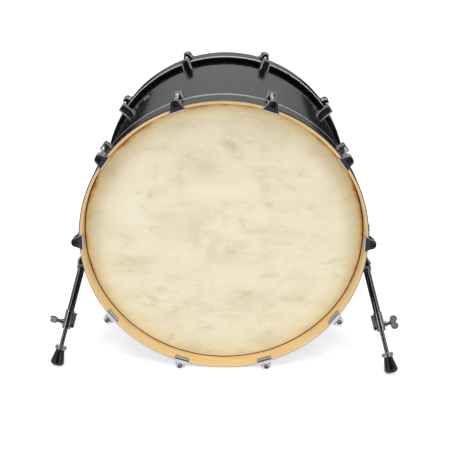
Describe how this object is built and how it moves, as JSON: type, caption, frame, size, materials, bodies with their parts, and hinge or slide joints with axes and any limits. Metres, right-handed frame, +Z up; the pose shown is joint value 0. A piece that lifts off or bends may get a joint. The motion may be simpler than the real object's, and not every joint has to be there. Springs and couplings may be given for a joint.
{
  "type": "bass drum",
  "caption": "Bass drum with a mottled calf-look front head, maple hoops, claw hooks, tension rods, lugs and folding telescopic spurs",
  "frame": {"origin": "on the floor, under the drum's centre, half-way between the two hoops", "axes": "+X to the right as seen from the front, +Y along the drum's axis from the front head to the rear head, +Z up"},
  "size_m": [0.7426, 0.5056, 0.5788],
  "materials": {
    "black_lacquer": "satin black lacquer",
    "maple_hoop": "clear-lacquered maple with a black outer face",
    "cream_film": "matt, mottled like calfskin",
    "black_aluminium": "black anodised",
    "black_chrome": "black chrome",
    "bright_chrome": "polished chrome",
    "black_rubber": "matt rubber"
  },
  "bodies": {
    "drum": {"shell": "black_lacquer", "vent_grommet": "bright_chrome", "front_lugs": "black_chrome", "rear_lugs": "black_chrome", "right_spur_bracket": "black_chrome", "right_spur_pivot_bolt": "bright_chrome", "left_spur_bracket": "black_chrome", "left_spur_pivot_bolt": "bright_chrome"},
    "front_head_set": {"front_head_film": "cream_film", "front_flesh_hoop": "black_aluminium", "front_hoop": "maple_hoop", "front_claws": "black_chrome", "front_claw_pads": "black_rubber"},
    "front_tension_rod_01": {"front_tension_rod_01": "bright_chrome"},
    "front_tension_rod_02": {"front_tension_rod_02": "bright_chrome"},
    "front_tension_rod_03": {"front_tension_rod_03": "bright_chrome"},
    "front_tension_rod_04": {"front_tension_rod_04": "bright_chrome"},
    "front_tension_rod_05": {"front_tension_rod_05": "bright_chrome"},
    "front_tension_rod_06": {"front_tension_rod_06": "bright_chrome"},
    "front_tension_rod_07": {"front_tension_rod_07": "bright_chrome"},
    "front_tension_rod_08": {"front_tension_rod_08": "bright_chrome"},
    "front_tension_rod_09": {"front_tension_rod_09": "bright_chrome"},
    "front_tension_rod_10": {"front_tension_rod_10": "bright_chrome"},
    "rear_head_set": {"rear_head_film": "cream_film", "rear_flesh_hoop": "black_aluminium", "rear_hoop": "maple_hoop", "rear_claws": "black_chrome", "rear_claw_pads": "black_rubber"},
    "rear_tension_rod_01": {"rear_tension_rod_01": "bright_chrome"},
    "rear_tension_rod_02": {"rear_tension_rod_02": "bright_chrome"},
    "rear_tension_rod_03": {"rear_tension_rod_03": "bright_chrome"},
    "rear_tension_rod_04": {"rear_tension_rod_04": "bright_chrome"},
    "rear_tension_rod_05": {"rear_tension_rod_05": "bright_chrome"},
    "rear_tension_rod_06": {"rear_tension_rod_06": "bright_chrome"},
    "rear_tension_rod_07": {"rear_tension_rod_07": "bright_chrome"},
    "rear_tension_rod_08": {"rear_tension_rod_08": "bright_chrome"},
    "rear_tension_rod_09": {"rear_tension_rod_09": "bright_chrome"},
    "rear_tension_rod_10": {"rear_tension_rod_10": "bright_chrome"},
    "right_leg": {"right_spur_knuckle": "black_chrome", "right_spur_tube": "black_chrome", "right_spur_collar": "bright_chrome"},
    "right_wing": {"right_spur_wing_screw": "bright_chrome"},
    "right_extension": {"right_spur_rod": "bright_chrome"},
    "right_locknut": {"right_spur_locknut": "bright_chrome"},
    "right_foot": {"right_spur_foot": "black_rubber"},
    "left_leg": {"left_spur_knuckle": "black_chrome", "left_spur_tube": "black_chrome", "left_spur_collar": "bright_chrome"},
    "left_wing": {"left_spur_wing_screw": "bright_chrome"},
    "left_extension": {"left_spur_rod": "bright_chrome"},
    "left_locknut": {"left_spur_locknut": "bright_chrome"},
    "left_foot": {"left_spur_foot": "black_rubber"}
  },
  "joints": [
    {"name": "front_head_slide", "type": "slide", "parent": "drum", "child": "front_head_set", "axis": [0, -1, 0], "range_m": [0, 0.01]},
    {"name": "front_tension_rod_01_turn", "type": "hinge", "parent": "front_head_set", "child": "front_tension_rod_01", "pos_m": [0.2964, -0.236, 0.2894], "axis": [0, 1, 0], "continuous": true},
    {"name": "front_tension_rod_02_turn", "type": "hinge", "parent": "front_head_set", "child": "front_tension_rod_02", "pos_m": [0.23979, -0.236, 0.46362], "axis": [0, 1, 0], "continuous": true},
    {"name": "front_tension_rod_03_turn", "type": "hinge", "parent": "front_head_set", "child": "front_tension_rod_03", "pos_m": [0.09159, -0.236, 0.57129], "axis": [0, 1, 0], "continuous": true},
    {"name": "front_tension_rod_04_turn", "type": "hinge", "parent": "front_head_set", "child": "front_tension_rod_04", "pos_m": [-0.09159, -0.236, 0.57129], "axis": [0, 1, 0], "continuous": true},
    {"name": "front_tension_rod_05_turn", "type": "hinge", "parent": "front_head_set", "child": "front_tension_rod_05", "pos_m": [-0.23979, -0.236, 0.46362], "axis": [0, 1, 0], "continuous": true},
    {"name": "front_tension_rod_06_turn", "type": "hinge", "parent": "front_head_set", "child": "front_tension_rod_06", "pos_m": [-0.2964, -0.236, 0.2894], "axis": [0, 1, 0], "continuous": true},
    {"name": "front_tension_rod_07_turn", "type": "hinge", "parent": "front_head_set", "child": "front_tension_rod_07", "pos_m": [-0.23979, -0.236, 0.11518], "axis": [0, 1, 0], "continuous": true},
    {"name": "front_tension_rod_08_turn", "type": "hinge", "parent": "front_head_set", "child": "front_tension_rod_08", "pos_m": [-0.09159, -0.236, 0.00751], "axis": [0, 1, 0], "continuous": true},
    {"name": "front_tension_rod_09_turn", "type": "hinge", "parent": "front_head_set", "child": "front_tension_rod_09", "pos_m": [0.09159, -0.236, 0.00751], "axis": [0, 1, 0], "continuous": true},
    {"name": "front_tension_rod_10_turn", "type": "hinge", "parent": "front_head_set", "child": "front_tension_rod_10", "pos_m": [0.23979, -0.236, 0.11518], "axis": [0, 1, 0], "continuous": true},
    {"name": "rear_head_slide", "type": "slide", "parent": "drum", "child": "rear_head_set", "axis": [0, 1, 0], "range_m": [0, 0.01]},
    {"name": "rear_tension_rod_01_turn", "type": "hinge", "parent": "rear_head_set", "child": "rear_tension_rod_01", "pos_m": [0.2964, 0.236, 0.2894], "axis": [0, 1, 0], "continuous": true},
    {"name": "rear_tension_rod_02_turn", "type": "hinge", "parent": "rear_head_set", "child": "rear_tension_rod_02", "pos_m": [0.23979, 0.236, 0.46362], "axis": [0, 1, 0], "continuous": true},
    {"name": "rear_tension_rod_03_turn", "type": "hinge", "parent": "rear_head_set", "child": "rear_tension_rod_03", "pos_m": [0.09159, 0.236, 0.57129], "axis": [0, 1, 0], "continuous": true},
    {"name": "rear_tension_rod_04_turn", "type": "hinge", "parent": "rear_head_set", "child": "rear_tension_rod_04", "pos_m": [-0.09159, 0.236, 0.57129], "axis": [0, 1, 0], "continuous": true},
    {"name": "rear_tension_rod_05_turn", "type": "hinge", "parent": "rear_head_set", "child": "rear_tension_rod_05", "pos_m": [-0.23979, 0.236, 0.46362], "axis": [0, 1, 0], "continuous": true},
    {"name": "rear_tension_rod_06_turn", "type": "hinge", "parent": "rear_head_set", "child": "rear_tension_rod_06", "pos_m": [-0.2964, 0.236, 0.2894], "axis": [0, 1, 0], "continuous": true},
    {"name": "rear_tension_rod_07_turn", "type": "hinge", "parent": "rear_head_set", "child": "rear_tension_rod_07", "pos_m": [-0.23979, 0.236, 0.11518], "axis": [0, 1, 0], "continuous": true},
    {"name": "rear_tension_rod_08_turn", "type": "hinge", "parent": "rear_head_set", "child": "rear_tension_rod_08", "pos_m": [-0.09159, 0.236, 0.00751], "axis": [0, 1, 0], "continuous": true},
    {"name": "rear_tension_rod_09_turn", "type": "hinge", "parent": "rear_head_set", "child": "rear_tension_rod_09", "pos_m": [0.09159, 0.236, 0.00751], "axis": [0, 1, 0], "continuous": true},
    {"name": "rear_tension_rod_10_turn", "type": "hinge", "parent": "rear_head_set", "child": "rear_tension_rod_10", "pos_m": [0.23979, 0.236, 0.11518], "axis": [0, 1, 0], "continuous": true},
    {"name": "right_spur_fold", "type": "hinge", "parent": "drum", "child": "right_leg", "pos_m": [0.3024, -0.1345, 0.2], "axis": [0.9659, 0, 0.2588], "range_deg": [0, 121]},
    {"name": "right_wing_turn", "type": "hinge", "parent": "right_leg", "child": "right_wing", "pos_m": [0.33219, -0.20367, 0.08881], "axis": [0.9659, 0, 0.2588], "range_deg": [0, 360]},
    {"name": "right_spur_extend", "type": "slide", "parent": "right_leg", "child": "right_extension", "axis": [0.2219, -0.515, -0.828], "range_m": [-0.03, 0.04]},
    {"name": "right_locknut_turn", "type": "hinge", "parent": "right_extension", "child": "right_locknut", "pos_m": [0.34632, -0.23646, 0.03609], "axis": [0.2219, -0.515, -0.828], "continuous": true},
    {"name": "right_foot_turn", "type": "hinge", "parent": "right_extension", "child": "right_foot", "pos_m": [0.35109, -0.24753, 0.01829], "axis": [0.2219, -0.515, -0.828], "continuous": true},
    {"name": "left_spur_fold", "type": "hinge", "parent": "drum", "child": "left_leg", "pos_m": [-0.3024, -0.1345, 0.2], "axis": [0.9659, 0, -0.2588], "range_deg": [0, 116.6]},
    {"name": "left_wing_turn", "type": "hinge", "parent": "left_leg", "child": "left_wing", "pos_m": [-0.33348, -0.19463, 0.08401], "axis": [-0.9659, 0, 0.2588], "range_deg": [0, 360]},
    {"name": "left_spur_extend", "type": "slide", "parent": "left_leg", "child": "left_extension", "axis": [-0.2314, -0.4478, -0.8637], "range_m": [-0.03, 0.04]},
    {"name": "left_locknut_turn", "type": "hinge", "parent": "left_extension", "child": "left_locknut", "pos_m": [-0.34609, -0.21904, 0.03694], "axis": [-0.2314, -0.4478, -0.8637], "continuous": true},
    {"name": "left_foot_turn", "type": "hinge", "parent": "left_extension", "child": "left_foot", "pos_m": [-0.35107, -0.22866, 0.01837], "axis": [-0.2314, -0.4478, -0.8637], "continuous": true}
  ]
}
